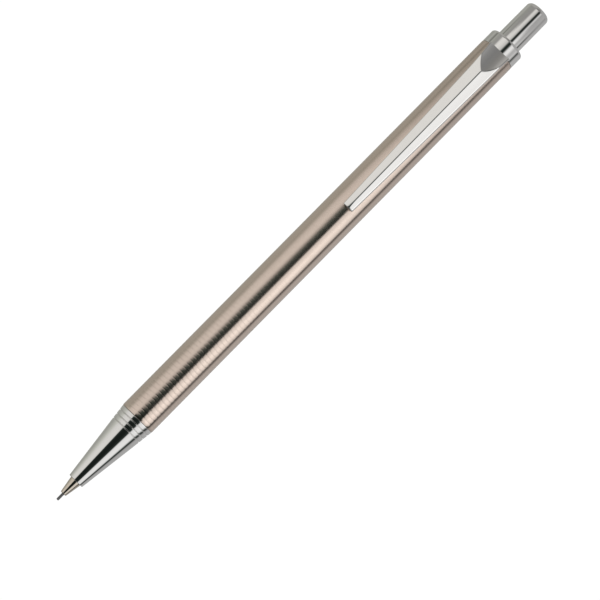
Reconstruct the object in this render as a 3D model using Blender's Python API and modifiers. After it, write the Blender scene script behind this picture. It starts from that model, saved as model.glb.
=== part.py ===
"""A slim all-metal mechanical pencil with a push button, as separate working pieces.

The pencil lies along X: point towards -X, button towards +X, clip up (+Z), barrel on z = 0.
Every piece is drawn in millimetres in the pencil's own frame, where Z runs from the lead's
point (station 0) to the button and X points to the clip. One empty lays that frame down.
"""

import math

import bmesh
import bpy
from mathutils import Matrix, Vector

MM = 0.001
SIDES = 32  # facets round a turned piece; one of them faces straight down

# Visible lengths along the axis, from the lead's point to the button's end
LEAD_OUT = 1.65
TIP_LENGTH = 3.5
NOSE_LENGTH = 17.2
BARREL_LENGTH = 102.95
COLLAR_LENGTH = 3.2
BUTTON_OUT = 9.4

# Visible radii
LEAD_R = 0.285
TIP_FRONT_R = 0.64
TIP_BACK_R = 1.25
NOSE_FRONT_R = 1.75
NOSE_BACK_R = 3.48
BARREL_R = 4.0
COLLAR_R = 3.97
BUTTON_R = 2.74

# Clearances
SLIDE_GAP = 0.05  # radial, between a piece that slides or turns and its guide
SEAT_GAP = 0.02  # radial, in a pressed or glued seat
FACE_GAP = 0.03  # between end faces that touch

# Travels
PUSH_TRAVEL = 2.5
CLUTCH_TRAVEL = 1.0

# Stations of the visible ends
TIP_FRONT = LEAD_OUT
NOSE_FRONT = TIP_FRONT + TIP_LENGTH
BARREL_FRONT = NOSE_FRONT + NOSE_LENGTH
BARREL_END = BARREL_FRONT + BARREL_LENGTH
COLLAR_FRONT = BARREL_END + FACE_GAP
COLLAR_END = BARREL_END + COLLAR_LENGTH
BUTTON_END = COLLAR_END + BUTTON_OUT

# Barrel
BARREL_WALL = 0.45
BARREL_BORE_R = BARREL_R - BARREL_WALL

# Nose cone: three turned grooves, then a flare up to the barrel
NOSE_BORE_R = TIP_BACK_R + SLIDE_GAP
GROOVE_STATIONS = [NOSE_FRONT + 14.1 + 1.09 * index for index in range(3)]
GROOVE_HALF_WIDTH = 0.26
GROOVE_DEPTH = 0.16
CONE_END = GROOVE_STATIONS[0] - GROOVE_HALF_WIDTH
NOSE_FLARE_R = 3.86
TIP_SEAT = NOSE_FRONT + 1.8
TIP_CUP_R = 1.60
CLUTCH_STOP = NOSE_FRONT + 7.75
THREAD_R = 3.0
SPIGOT_END = BARREL_FRONT + 5.5
SPIGOT_BORE_R = 2.45

# Lead feed, from the retainer back to the lead tube
RETAINER_FRONT = TIP_SEAT + 0.8
TIP_CUP_END = TIP_SEAT + 3.2
CHUCK_FRONT = TIP_CUP_END + PUSH_TRAVEL + 0.4
CHUCK_HEAD_R = 1.32
CHUCK_STEM_R = 0.85
CHUCK_BORE_R = LEAD_R + SLIDE_GAP
CHUCK_LENGTH = 20.0
CHUCK_END = CHUCK_FRONT + CHUCK_LENGTH
SLOT_WIDTH = 0.3
SLOT_END = CHUCK_FRONT + 8.5
CLUTCH_FRONT = CLUTCH_STOP + FACE_GAP + CLUTCH_TRAVEL
CLUTCH_LENGTH = 1.6
CLUTCH_R = 1.85
HOUSING_FRONT = CLUTCH_FRONT + CLUTCH_LENGTH + FACE_GAP
HOUSING_WALL_END = HOUSING_FRONT + 1.5
HOUSING_BORE_R = 2.0
HOUSING_R = SPIGOT_BORE_R - 0.08
HOUSING_END = HOUSING_FRONT + 18.0
CONNECTOR_FRONT = CHUCK_END - 3.0
CONNECTOR_STEP = CONNECTOR_FRONT + 2.6
CONNECTOR_END = CONNECTOR_FRONT + 6.0
TUBE_R = 1.90
TUBE_BORE_R = 1.45
TUBE_PLUG_R = TUBE_BORE_R - SEAT_GAP
SPRING_WIRE_R = 0.18
SPRING_R = 1.50
SPRING_TURNS = 10
LEAD_IN_USE_LENGTH = 45.0
SPARE_LEAD_LENGTH = 60.0
SPARE_LEAD_OFFSET = 0.95

# Top end
TOP_BUSH_FRONT = BARREL_END - 12.0
BUSH_R = BARREL_BORE_R - SEAT_GAP
NECK_R = 3.42
NECK_END = COLLAR_END - 0.75
BUTTON_GUIDE_R = BUTTON_R + SLIDE_GAP
BUTTON_FRONT = BARREL_END - 1.6
BUTTON_WALL = 0.33
BUTTON_EDGE_R = 1.0
FLANGE_R = 2.60
FLANGE_LENGTH = 0.9
FLANGE_FRONT = BUTTON_FRONT - FACE_GAP - FLANGE_LENGTH
GUIDE_STEP = FLANGE_FRONT - PUSH_TRAVEL - 0.15
CLIP_RING_LENGTH = 0.36
COLLAR_EDGE_R = 0.55
TAB_WIDTH = 3.0
TAB_THICKNESS = 0.3
TAB_FRONT = BARREL_END - 0.42
TAB_TOP = 4.2
TUBE_END = BARREL_END + 2.5
HOLDER_R = BUTTON_R - BUTTON_WALL - SLIDE_GAP
HOLDER_END = TUBE_END + 4.5
ERASER_R = 2.05
ERASER_END = BUTTON_END - 1.0

# Clip: a folded blade, seen from above as a long taper
CLIP_TIP = 81.1
CLIP_APEX = 119.3  # where the ridge meets the triangular facet
CLIP_EAVE_BREAK = 122.3  # where the facet reaches the blade's full width
CLIP_TOP_END = BARREL_END - 0.5
CLIP_FOOT_END = BARREL_END - 0.04
SHEET = 0.5
HINGE_STATION = BARREL_END + 0.05
HINGE_HEIGHT = 4.45


def remove_everything():
    for thing in list(bpy.data.objects):
        bpy.data.objects.remove(thing, do_unlink=True)


def new_collection(name):
    collection = bpy.data.collections.new(name)
    bpy.context.scene.collection.children.link(collection)
    return collection


def new_empty(name, collection, parent, location):
    """An empty at a place in its parent's frame, in millimetres."""
    empty = bpy.data.objects.new(name, None)
    empty.empty_display_size = 0.005
    empty.parent = parent
    empty.location = Vector(location) * MM
    collection.objects.link(empty)
    return empty


def metal(name, color, roughness):
    return surface(name, color, roughness, 1.0)


def surface(name, color, roughness, metallic=0.0):
    material = bpy.data.materials.new(name)
    material.use_nodes = True
    shader = material.node_tree.nodes["Principled BSDF"]
    shader.inputs["Base Color"].default_value = (*color, 1.0)
    shader.inputs["Roughness"].default_value = roughness
    shader.inputs["Metallic"].default_value = metallic
    material.diffuse_color = (*color, 1.0)
    return material


def link_mesh(name, mesh, material):
    piece = bpy.data.objects.new(name, mesh)
    piece.data.materials.append(material)
    piece.parent = pencil_axis
    pieces.objects.link(piece)
    return piece


def turned(name, outer, material, bore=()):
    """A turned piece. Both outlines run from the point towards the button as (station, radius).

    A tube has a bore from end to end. A cap's bore ends on the axis, and so does its outside.
    Radii are those of the facets' middles, so a round of that radius fits inside or outside.
    """
    outline = list(reversed(outer)) + list(bore)
    facet = math.tan(math.pi / SIDES)
    outline_mesh = bmesh.new()
    corners = []
    for station, radius in outline:
        place = Vector((radius, radius * facet, station)) * MM
        corners.append(outline_mesh.verts.new(place))
    for first, second in zip(corners, corners[1:]):
        outline_mesh.edges.new((first, second))
    if outline[0][1] > 0.0 and outline[-1][1] > 0.0:
        outline_mesh.edges.new((corners[-1], corners[0]))
    mesh = bpy.data.meshes.new(name)
    outline_mesh.to_mesh(mesh)
    outline_mesh.free()
    piece = link_mesh(name, mesh, material)
    screw = piece.modifiers.new("turn", "SCREW")
    screw.axis = "Z"
    screw.angle = 2.0 * math.pi
    screw.steps = SIDES
    screw.render_steps = SIDES
    screw.use_merge_vertices = True
    screw.merge_threshold = 0.000001
    screw.use_smooth_shade = True
    return piece


def box_mesh(name, low, high):
    """A box between two corners, in millimetres."""
    box = bmesh.new()
    low, high = Vector(low), Vector(high)
    place = Matrix.Translation((low + high) / 2.0 * MM) @ Matrix.Diagonal(((high - low) * MM).to_4d())
    bmesh.ops.create_cube(box, size=1.0, matrix=place)
    mesh = bpy.data.meshes.new(name)
    box.to_mesh(mesh)
    box.free()
    return mesh


def join_box(piece, name, low, high, operation, turn=0.0):
    """Cut or add a box on a piece, turned about the pencil's axis."""
    tool = bpy.data.objects.new(name, box_mesh(name, low, high))
    tool.parent = pencil_axis
    tool.rotation_euler = (0.0, 0.0, turn)
    tool.hide_render = True
    tool.display_type = "WIRE"
    cutters.objects.link(tool)
    boolean = piece.modifiers.new(name, "BOOLEAN")
    boolean.operation = operation
    boolean.solver = "EXACT"
    boolean.object = tool


def arc(station, radius, bend, start, end, steps=5):
    """Points on a quarter round: centre, bend radius and start and end angles in degrees.

    The angle is measured from straight out (0) towards the button (90).
    """
    points = []
    for step in range(steps + 1):
        angle = math.radians(start + (end - start) * step / steps)
        points.append((station + bend * math.sin(angle), radius + bend * math.cos(angle)))
    return points


def make_barrel():
    outer = [
        (BARREL_FRONT, 3.86),
        (BARREL_FRONT + 0.2, 3.94),
        (BARREL_FRONT + 0.6, BARREL_R),
        (BARREL_END - 0.1, BARREL_R),
        (BARREL_END, BARREL_R - 0.1),
    ]
    bore = [(BARREL_FRONT, BARREL_BORE_R), (BARREL_END, BARREL_BORE_R)]
    barrel = turned("barrel", outer, satin_nickel, bore)
    notch_half_width = TAB_WIDTH / 2.0 + 0.05
    low = (BARREL_BORE_R - 0.5, -notch_half_width, TAB_FRONT - FACE_GAP)
    high = (BARREL_R + 1.0, notch_half_width, BARREL_END + 1.0)
    join_box(barrel, "tab_notch", low, high, "DIFFERENCE")


def make_front_bush():
    front = BARREL_FRONT + 0.1
    end = HOUSING_END + 0.5
    bore_r = THREAD_R + SLIDE_GAP
    outer = [(front, BUSH_R), (end, BUSH_R)]
    turned("front_bush", outer, brass, [(front, bore_r), (end, bore_r)])


def cone_radius(station):
    """Outside radius of the nose cone's straight flank."""
    share = (station - NOSE_FRONT) / (CONE_END - NOSE_FRONT)
    return NOSE_FRONT_R + (NOSE_BACK_R - NOSE_FRONT_R) * share


def make_nose_cone():
    outer = [(NOSE_FRONT, NOSE_FRONT_R - 0.06), (NOSE_FRONT + 0.06, NOSE_FRONT_R)]
    for station in GROOVE_STATIONS:
        before = cone_radius(station - GROOVE_HALF_WIDTH)
        after = cone_radius(station + GROOVE_HALF_WIDTH) + 0.06
        outer.append((station - GROOVE_HALF_WIDTH, before))
        outer.append((station, before - GROOVE_DEPTH))
        outer.append((station + GROOVE_HALF_WIDTH, after))
    outer += [
        (BARREL_FRONT - FACE_GAP, NOSE_FLARE_R),
        (BARREL_FRONT - FACE_GAP, THREAD_R),
        (SPIGOT_END - 0.3, THREAD_R),
        (SPIGOT_END, THREAD_R - 0.25),
    ]
    bore = [
        (NOSE_FRONT, NOSE_BORE_R),
        (TIP_SEAT, NOSE_BORE_R),
        (TIP_SEAT, TIP_CUP_R + SLIDE_GAP),
        (CLUTCH_STOP, TIP_CUP_R + SLIDE_GAP),
        (CLUTCH_STOP, CLUTCH_R + 0.15),
        (CLUTCH_STOP + 4.0, SPIGOT_BORE_R),
        (SPIGOT_END, SPIGOT_BORE_R),
    ]
    turned("nose_cone", outer, chrome, bore)


def make_tip_cone():
    outer = [
        (TIP_FRONT, TIP_FRONT_R - 0.1),
        (TIP_FRONT + 0.1, TIP_FRONT_R),
        (NOSE_FRONT, TIP_BACK_R),
        (TIP_SEAT + FACE_GAP, TIP_BACK_R),
        (TIP_SEAT + FACE_GAP, TIP_CUP_R),
        (TIP_CUP_END, TIP_CUP_R),
    ]
    bore = [
        (TIP_FRONT, CHUCK_BORE_R),
        (RETAINER_FRONT, CHUCK_BORE_R),
        (RETAINER_FRONT, TIP_CUP_R - 0.35),
        (TIP_CUP_END, TIP_CUP_R - 0.35),
    ]
    turned("tip_cone", outer, warm_nickel, bore)


def make_lead_retainer():
    front = RETAINER_FRONT + FACE_GAP
    end = TIP_CUP_END - 0.2
    radius = TIP_CUP_R - 0.35 - SEAT_GAP
    hole = LEAD_R + SEAT_GAP
    bore = [(front, hole), (end - 0.6, hole), (end, hole + 0.45)]
    turned("lead_retainer", [(front, radius), (end, radius)], rubber, bore)


def make_chuck():
    neck = CLUTCH_FRONT + CLUTCH_LENGTH
    outer = [
        (CHUCK_FRONT, CHUCK_HEAD_R - 0.2),
        (CHUCK_FRONT + 0.3, CHUCK_HEAD_R),
        (CLUTCH_FRONT, CHUCK_HEAD_R),
        (neck, CHUCK_HEAD_R - 0.3),
        (neck + 0.15, CHUCK_STEM_R),
        (CHUCK_END, CHUCK_STEM_R),
    ]
    bore = [(CHUCK_FRONT, CHUCK_BORE_R), (CHUCK_END, CHUCK_BORE_R)]
    chuck = turned("chuck", outer, brass, bore)
    for index in range(3):
        low = (0.0, -SLOT_WIDTH / 2.0, CHUCK_FRONT - 1.0)
        high = (2.0, SLOT_WIDTH / 2.0, SLOT_END)
        turn = math.radians(60.0 + 120.0 * index)
        join_box(chuck, f"jaw_slot_{index + 1}", low, high, "DIFFERENCE", turn)


def make_clutch_ring():
    end = CLUTCH_FRONT + CLUTCH_LENGTH
    outer = [
        (CLUTCH_FRONT, CLUTCH_R - 0.1),
        (CLUTCH_FRONT + 0.1, CLUTCH_R),
        (end - 0.1, CLUTCH_R),
        (end, CLUTCH_R - 0.1),
    ]
    bore = [(CLUTCH_FRONT, CHUCK_HEAD_R + 0.03), (end, CHUCK_HEAD_R - 0.27)]
    turned("clutch_ring", outer, brass, bore)


def make_mechanism_housing():
    flange = SPIGOT_END + 0.3
    outer = [
        (HOUSING_FRONT, CLUTCH_R + 0.2),
        (HOUSING_WALL_END + 0.5, HOUSING_R),
        (flange, HOUSING_R),
        (flange, THREAD_R),
        (HOUSING_END, THREAD_R),
    ]
    bore = [
        (HOUSING_FRONT, 1.15),
        (HOUSING_WALL_END, 1.15),
        (HOUSING_WALL_END, HOUSING_BORE_R),
        (HOUSING_END, HOUSING_BORE_R),
    ]
    turned("mechanism_housing", outer, brass, bore)


def make_chuck_spring():
    """A compression spring round the chuck's stem, with a closed turn at each end."""
    steps_per_turn = 12
    front = HOUSING_WALL_END + SPRING_WIRE_R + FACE_GAP
    end = CONNECTOR_FRONT - SPRING_WIRE_R - FACE_GAP
    closed_pitch = 2.0 * SPRING_WIRE_R + 0.04
    open_pitch = (end - front - 2.0 * closed_pitch) / (SPRING_TURNS - 2)
    curve = bpy.data.curves.new("chuck_spring", "CURVE")
    curve.dimensions = "3D"
    curve.bevel_depth = SPRING_WIRE_R * MM
    curve.bevel_resolution = 2
    curve.use_fill_caps = True
    wire = curve.splines.new("POLY")
    wire.points.add(SPRING_TURNS * steps_per_turn)
    for step, point in enumerate(wire.points):
        turn = step / steps_per_turn
        first = min(turn, 1.0)
        last = max(turn - (SPRING_TURNS - 1), 0.0)
        middle = turn - first - last
        station = front + (first + last) * closed_pitch + middle * open_pitch
        angle = 2.0 * math.pi * turn
        place = Vector((SPRING_R * math.cos(angle), SPRING_R * math.sin(angle), station)) * MM
        point.co = (*place, 1.0)
    spring = bpy.data.objects.new("chuck_spring", curve)
    curve.materials.append(steel)
    spring.parent = pencil_axis
    pieces.objects.link(spring)


def make_tube_connector():
    outer = [
        (CONNECTOR_FRONT, TUBE_R),
        (CONNECTOR_STEP, TUBE_R),
        (CONNECTOR_STEP, TUBE_PLUG_R),
        (CONNECTOR_END, TUBE_PLUG_R),
    ]
    socket_r = CHUCK_STEM_R + SEAT_GAP
    socket_end = CHUCK_END + FACE_GAP
    bore = [
        (CONNECTOR_FRONT, socket_r),
        (socket_end, socket_r),
        (socket_end, 0.5),
        (socket_end + 1.0, 0.5),
        (CONNECTOR_END, TUBE_PLUG_R - 0.2),
    ]
    turned("tube_connector", outer, brass, bore)


def make_lead_tube():
    front = CONNECTOR_STEP + FACE_GAP
    outer = [
        (front, TUBE_R),
        (FLANGE_FRONT, TUBE_R),
        (FLANGE_FRONT, FLANGE_R),
        (FLANGE_FRONT + FLANGE_LENGTH, FLANGE_R),
        (FLANGE_FRONT + FLANGE_LENGTH, TUBE_R),
        (TUBE_END, TUBE_R),
    ]
    turned("lead_tube", outer, clear_plastic, [(front, TUBE_BORE_R), (TUBE_END, TUBE_BORE_R)])


def make_leads():
    """The lead in use on the axis, and the spare ones round it in the tube."""
    end = LEAD_IN_USE_LENGTH
    rod = [(0.0, 0.0), (0.0, LEAD_R * 0.7), (0.12, LEAD_R), (end, LEAD_R), (end, 0.0)]
    turned("lead", rod, graphite)
    front = CONNECTOR_END + 0.5
    end = front + SPARE_LEAD_LENGTH
    for index in range(3):
        rod = [(front, 0.0), (front, LEAD_R), (end, LEAD_R), (end, 0.0)]
        spare = turned(f"spare_lead_{index + 1}", rod, graphite)
        angle = math.radians(60.0 + 120.0 * index)
        spare.location = Vector((math.cos(angle), math.sin(angle), 0.0)) * SPARE_LEAD_OFFSET * MM
        spare.modifiers["turn"].steps = 12
        spare.modifiers["turn"].render_steps = 12


def make_top_bush():
    tube_hole_r = TUBE_R + 0.15
    outer = [
        (TOP_BUSH_FRONT, BUSH_R),
        (BARREL_END, BUSH_R),
        (BARREL_END, NECK_R),
        (NECK_END, NECK_R),
    ]
    bore = [
        (TOP_BUSH_FRONT, tube_hole_r),
        (GUIDE_STEP, tube_hole_r),
        (GUIDE_STEP, BUTTON_GUIDE_R),
        (NECK_END, BUTTON_GUIDE_R),
    ]
    turned("top_bush", outer, brass, bore)


def make_clip_ring():
    """A washer under the collar, with a tab that stands in the barrel's notch under the clip."""
    front = COLLAR_FRONT + FACE_GAP
    end = front + CLIP_RING_LENGTH
    outer_r = COLLAR_R - 0.25
    inner_r = NECK_R + SEAT_GAP
    tongue_r = BARREL_BORE_R + FACE_GAP
    outer = [(TAB_FRONT, outer_r), (end, outer_r)]
    bore = [(TAB_FRONT, tongue_r), (front, tongue_r), (front, inner_r), (end, inner_r)]
    ring = turned("clip_ring", outer, chrome, bore)
    # everything in front of the washer goes, except the tongue that carries the tab
    half_width = TAB_WIDTH / 2.0
    before = TAB_FRONT - 1.0
    reach = COLLAR_R + 1.0
    join_box(ring, "below_tongue", (-reach, -reach, before), (0.0, reach, front), "DIFFERENCE")
    join_box(ring, "left_of_tongue", (-0.1, half_width, before), (reach, reach, front), "DIFFERENCE")
    join_box(ring, "right_of_tongue", (-0.1, -reach, before), (reach, -half_width, front), "DIFFERENCE")
    low = (outer_r - 0.1, -half_width, TAB_FRONT)
    join_box(ring, "tab", low, (TAB_TOP, half_width, TAB_FRONT + TAB_THICKNESS), "UNION")


def make_collar():
    recess_r = COLLAR_R - 0.2
    recess_end = COLLAR_FRONT + CLIP_RING_LENGTH + 2.0 * FACE_GAP
    outer = [(COLLAR_FRONT, COLLAR_R - 0.05), (COLLAR_FRONT + 0.05, COLLAR_R)]
    outer += arc(COLLAR_END - COLLAR_EDGE_R, COLLAR_R - COLLAR_EDGE_R, COLLAR_EDGE_R, 0.0, 90.0)
    bore = [
        (COLLAR_FRONT, recess_r),
        (recess_end, recess_r),
        (recess_end, NECK_R + SEAT_GAP),
        (NECK_END + FACE_GAP, NECK_R + SEAT_GAP),
        (NECK_END + FACE_GAP, BUTTON_GUIDE_R),
        (COLLAR_END, BUTTON_GUIDE_R),
    ]
    turned("collar", outer, chrome, bore)


def make_push_button():
    inner_r = BUTTON_R - BUTTON_WALL
    outer = [(BUTTON_FRONT, BUTTON_R - 0.1), (BUTTON_FRONT + 0.1, BUTTON_R)]
    outer += arc(BUTTON_END - BUTTON_EDGE_R, BUTTON_R - BUTTON_EDGE_R, BUTTON_EDGE_R, 0.0, 90.0, 6)
    outer.append((BUTTON_END, 0.0))
    bore = [
        (BUTTON_FRONT, inner_r),
        (BUTTON_END - 0.9, inner_r),
        (BUTTON_END - 0.6, inner_r - 0.4),
        (BUTTON_END - 0.6, 0.0),
    ]
    turned("push_button", outer, chrome, bore)


def make_eraser_holder():
    """A sleeve whose lower end plugs the lead tube and whose cup holds the eraser."""
    rim = TUBE_END + FACE_GAP
    outer = [
        (TUBE_END - 5.0, TUBE_PLUG_R),
        (rim, TUBE_PLUG_R),
        (rim, HOLDER_R),
        (HOLDER_END, HOLDER_R),
    ]
    bore = [
        (TUBE_END - 5.0, TUBE_PLUG_R - 0.3),
        (rim + 0.4, TUBE_PLUG_R - 0.3),
        (rim + 0.4, ERASER_R + SEAT_GAP),
        (HOLDER_END, ERASER_R + SEAT_GAP),
    ]
    turned("eraser_holder", outer, brass, bore)


def make_eraser():
    front = TUBE_END + 2.0 * FACE_GAP + 0.4
    outer = [
        (front, 0.0),
        (front, ERASER_R),
        (ERASER_END - 0.3, ERASER_R),
        (ERASER_END, ERASER_R - 0.3),
        (ERASER_END, 0.0),
    ]
    turned("eraser", outer, white_rubber)


def clip_half_width(station):
    """The blade's half width: a long straight taper that flares a little at the head."""
    head_half_width = 2.34
    tip_half_width = 1.11
    share = (station - CLIP_TIP) / (CLIP_APEX - CLIP_TIP)
    flare = 0.15 * max(0.0, (station - CLIP_APEX) / (CLIP_TOP_END - CLIP_APEX)) ** 2
    return tip_half_width + (head_half_width - tip_half_width) * share + flare


def clip_ridge_height(station):
    """Height of the fold above the pencil's axis, before the facet cuts it off."""
    head_height = 6.5
    tip_height = 5.15
    share = (station - CLIP_TIP) / (CLIP_APEX - CLIP_TIP)
    return tip_height + (head_height - tip_height) * share


def clip_section(station, ridge, eave, facet_half_width, under_side, under_middle, channel=0.05):
    """Eight corners round the blade: height above the axis, side, station.

    Underneath, the sheet rises from each side to a channel of the given half width.
    """
    half = clip_half_width(station)
    corners = [
        (under_side, -half),
        (eave, -half),
        (ridge, -facet_half_width),
        (ridge, facet_half_width),
        (eave, half),
        (under_side, half),
        (under_middle, channel),
        (under_middle, -channel),
    ]
    return [(height, side, station) for height, side in corners]


def clip_sections():
    """The clip's cross-sections from its free end to its head."""
    ridge_half = 0.05
    roof_slope = math.tan(math.radians(18.0))
    sections = []
    # the free end, with a rounded foot under it that rests on the barrel
    for offset, foot in ((0.0, 4.45), (0.5, 4.15), (1.2, 4.06), (2.0, 4.12), (3.0, 4.5)):
        station = CLIP_TIP + offset
        ridge = clip_ridge_height(station)
        eave = ridge - clip_half_width(station) * roof_slope
        under = max(foot, eave - SHEET)
        sections.append(clip_section(station, ridge, eave, ridge_half, under, foot))
    # the blade
    for step in range(9):
        station = CLIP_TIP + 4.0 + (CLIP_APEX - CLIP_TIP - 4.0) * step / 8.0
        ridge = clip_ridge_height(station)
        eave = ridge - clip_half_width(station) * roof_slope
        sections.append(clip_section(station, ridge, eave, ridge_half, eave - SHEET, ridge - SHEET))
    # the facet slopes down to the head and widens to the blade's full width
    apex_ridge = clip_ridge_height(CLIP_APEX)
    apex_eave = apex_ridge - clip_half_width(CLIP_APEX) * roof_slope
    facet_slope = (apex_ridge - apex_eave) / (CLIP_EAVE_BREAK - CLIP_APEX)
    for step in (0.33, 0.66, 1.0):
        station = CLIP_APEX + (CLIP_EAVE_BREAK - CLIP_APEX) * step
        ridge = apex_ridge - facet_slope * (station - CLIP_APEX)
        half = clip_half_width(station)
        facet_half = ridge_half + (half - 0.05 - ridge_half) * step
        under = apex_eave - SHEET
        sections.append(clip_section(station, ridge, apex_eave - 0.01 * step, facet_half, under, apex_eave))
    # the shoulder, where the sheet turns down to the seam and leaves room for the ring's tab
    channel = TAB_WIDTH / 2.0 + 0.2
    for station, under_side, under_middle, under_half in (
        (CLIP_EAVE_BREAK + 0.9, 4.7, 5.0, 0.05),
        (CLIP_EAVE_BREAK + 1.3, 3.9, 4.4, 1.0),
        (CLIP_EAVE_BREAK + 1.5, 3.5, 4.3, channel),
        (CLIP_TOP_END, 3.5, 4.3, channel),
    ):
        top = apex_ridge - facet_slope * (station - CLIP_APEX)
        half = clip_half_width(station) - 0.05
        section = clip_section(station, top, top - 0.05, half, under_side, under_middle, under_half)
        sections.append(section)
    foot_half = clip_half_width(CLIP_FOOT_END) - 0.05
    sections.append(clip_section(CLIP_FOOT_END, 4.62, 4.57, foot_half, 3.5, 4.3, channel))
    return sections


def make_clip():
    """The folded blade as a loft through its cross-sections, with its origin on its hinge."""
    hinge = new_empty("clip_hinge", pieces, pencil_axis, (HINGE_HEIGHT, 0.0, HINGE_STATION))
    origin = Vector((HINGE_HEIGHT, 0.0, HINGE_STATION))
    loft = bmesh.new()
    rings = []
    for section in clip_sections():
        rings.append([loft.verts.new((Vector(corner) - origin) * MM) for corner in section])
    for ring, following in zip(rings, rings[1:]):
        for index in range(len(ring)):
            after = (index + 1) % len(ring)
            loft.faces.new((ring[index], ring[after], following[after], following[index]))
    loft.faces.new(rings[0])
    loft.faces.new(rings[-1])
    bmesh.ops.triangulate(loft, faces=list(loft.faces))
    bmesh.ops.recalc_face_normals(loft, faces=list(loft.faces))
    mesh = bpy.data.meshes.new("clip")
    loft.to_mesh(mesh)
    loft.free()
    clip = link_mesh("clip", mesh, chrome)
    clip.parent = hinge


remove_everything()
pieces = new_collection("mechanical_pencil")
cutters = new_collection("cutters")

satin_nickel = metal("satin_nickel", (0.62, 0.54, 0.47), 0.28)
chrome = metal("chrome", (0.78, 0.79, 0.80), 0.08)
warm_nickel = metal("warm_nickel", (0.66, 0.55, 0.46), 0.20)
brass = metal("brass", (0.72, 0.54, 0.25), 0.30)
steel = metal("spring_steel", (0.55, 0.56, 0.58), 0.30)
graphite = surface("graphite", (0.06, 0.06, 0.065), 0.45, 0.3)
rubber = surface("black_rubber", (0.03, 0.03, 0.03), 0.8)
white_rubber = surface("white_rubber", (0.85, 0.84, 0.80), 0.75)
clear_plastic = surface("tube_plastic", (0.75, 0.77, 0.78), 0.35)

pencil_axis = new_empty("pencil_axis", pieces, None, (-BUTTON_END / 2.0, 0.0, BARREL_R))
pencil_axis.rotation_euler = (math.pi, -math.pi / 2.0, 0.0)

make_barrel()
make_front_bush()
make_nose_cone()
make_tip_cone()
make_lead_retainer()
make_chuck()
make_clutch_ring()
make_mechanism_housing()
make_chuck_spring()
make_tube_connector()
make_lead_tube()
make_leads()
make_top_bush()
make_clip_ring()
make_collar()
make_push_button()
make_eraser_holder()
make_eraser()
make_clip()
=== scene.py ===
"""Looks of a slim all-metal mechanical pencil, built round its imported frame.

The pencil lies along X with its clip up. Every turned piece is drawn in millimetres as an
outline of (station, radius) points, where station 0 is the lead's point and stations grow
towards the button, and is then spun round the pencil's axis with finely rounded edges.
"""

import math

import bmesh
import bpy
from mathutils import Matrix, Vector


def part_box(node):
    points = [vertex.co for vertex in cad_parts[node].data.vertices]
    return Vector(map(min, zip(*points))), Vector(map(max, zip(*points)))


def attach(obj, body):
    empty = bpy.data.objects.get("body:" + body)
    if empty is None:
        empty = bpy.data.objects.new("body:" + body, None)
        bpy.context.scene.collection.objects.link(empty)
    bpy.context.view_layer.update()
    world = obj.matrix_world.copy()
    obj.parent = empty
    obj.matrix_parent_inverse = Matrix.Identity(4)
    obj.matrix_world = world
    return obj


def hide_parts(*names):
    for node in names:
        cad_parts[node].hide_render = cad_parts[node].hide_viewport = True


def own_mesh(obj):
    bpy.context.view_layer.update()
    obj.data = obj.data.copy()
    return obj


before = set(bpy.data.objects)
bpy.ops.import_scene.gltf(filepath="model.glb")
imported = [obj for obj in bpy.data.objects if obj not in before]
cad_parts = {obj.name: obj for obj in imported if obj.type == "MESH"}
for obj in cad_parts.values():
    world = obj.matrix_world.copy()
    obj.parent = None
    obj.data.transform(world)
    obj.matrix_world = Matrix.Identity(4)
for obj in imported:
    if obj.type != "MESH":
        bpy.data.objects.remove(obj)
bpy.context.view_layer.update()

MM = 0.001
SIDES = 128  # facets round a turned piece
EDGE = 0.06  # how far an edge's round reaches
EDGE_STEPS = 4
SHARP_CORNER = math.radians(25.0)
SUPPORT = 0.03  # plain strip beside a round, which keeps the long faces' shading flat

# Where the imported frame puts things
POINT_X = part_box("lead")[0].x
AXIS_HEIGHT = (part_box("barrel")[1].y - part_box("barrel")[0].y) / 2.0


def ends(node):
    """A CAD node's first and last stations, in millimetres."""
    low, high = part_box(node)
    return (low.x - POINT_X) / MM, (high.x - POINT_X) / MM


def radius_of(node):
    """A turned CAD node's largest radius, in millimetres."""
    low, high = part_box(node)
    return (high.y - low.y) / 2.0 / MM


TIP_FRONT, TIP_CUP_END = ends("tip_cone")
NOSE_FRONT, SPIGOT_END = ends("nose_cone")
BARREL_FRONT, BARREL_END = ends("barrel")
COLLAR_FRONT, COLLAR_END = ends("collar")
BUTTON_FRONT, BUTTON_END = ends("push_button")
BARREL_R = radius_of("barrel")
COLLAR_R = radius_of("collar")
BUTTON_R = radius_of("push_button")
LEAD_R = radius_of("lead")

# Clearances and sizes that more than one piece shares
SLIDE_GAP = 0.05  # radial, between a sliding piece and its guide
FACE_GAP = 0.03  # between end faces that touch
SEAT_GAP = 0.02  # radial, in a pressed or glued seat
THREAD_R = 3.0
THREAD_PITCH = 0.5
THREAD_DEPTH = 0.2
THREAD_STEPS = 6  # outline points in one pitch
BARREL_BORE_R = 3.55
BUSH_R = BARREL_BORE_R - SEAT_GAP
TIP_BACK_R = 1.27
SPIGOT_BORE_R = 2.45
HOUSING_R = 2.37
TUBE_R = 1.9
TUBE_BORE_R = 1.45
NECK_R = 3.42  # of the top bush inside the collar


# ---------------------------------------------------------------- outlines


def arc(station, radius, bend, start, end, steps=8):
    """Points on a round. Angles run from straight out (0) towards the button (90 degrees)."""
    points = []
    for step in range(steps + 1):
        angle = math.radians(start + (end - start) * step / steps)
        points.append((station + bend * math.sin(angle), radius + bend * math.cos(angle)))
    return points


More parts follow.
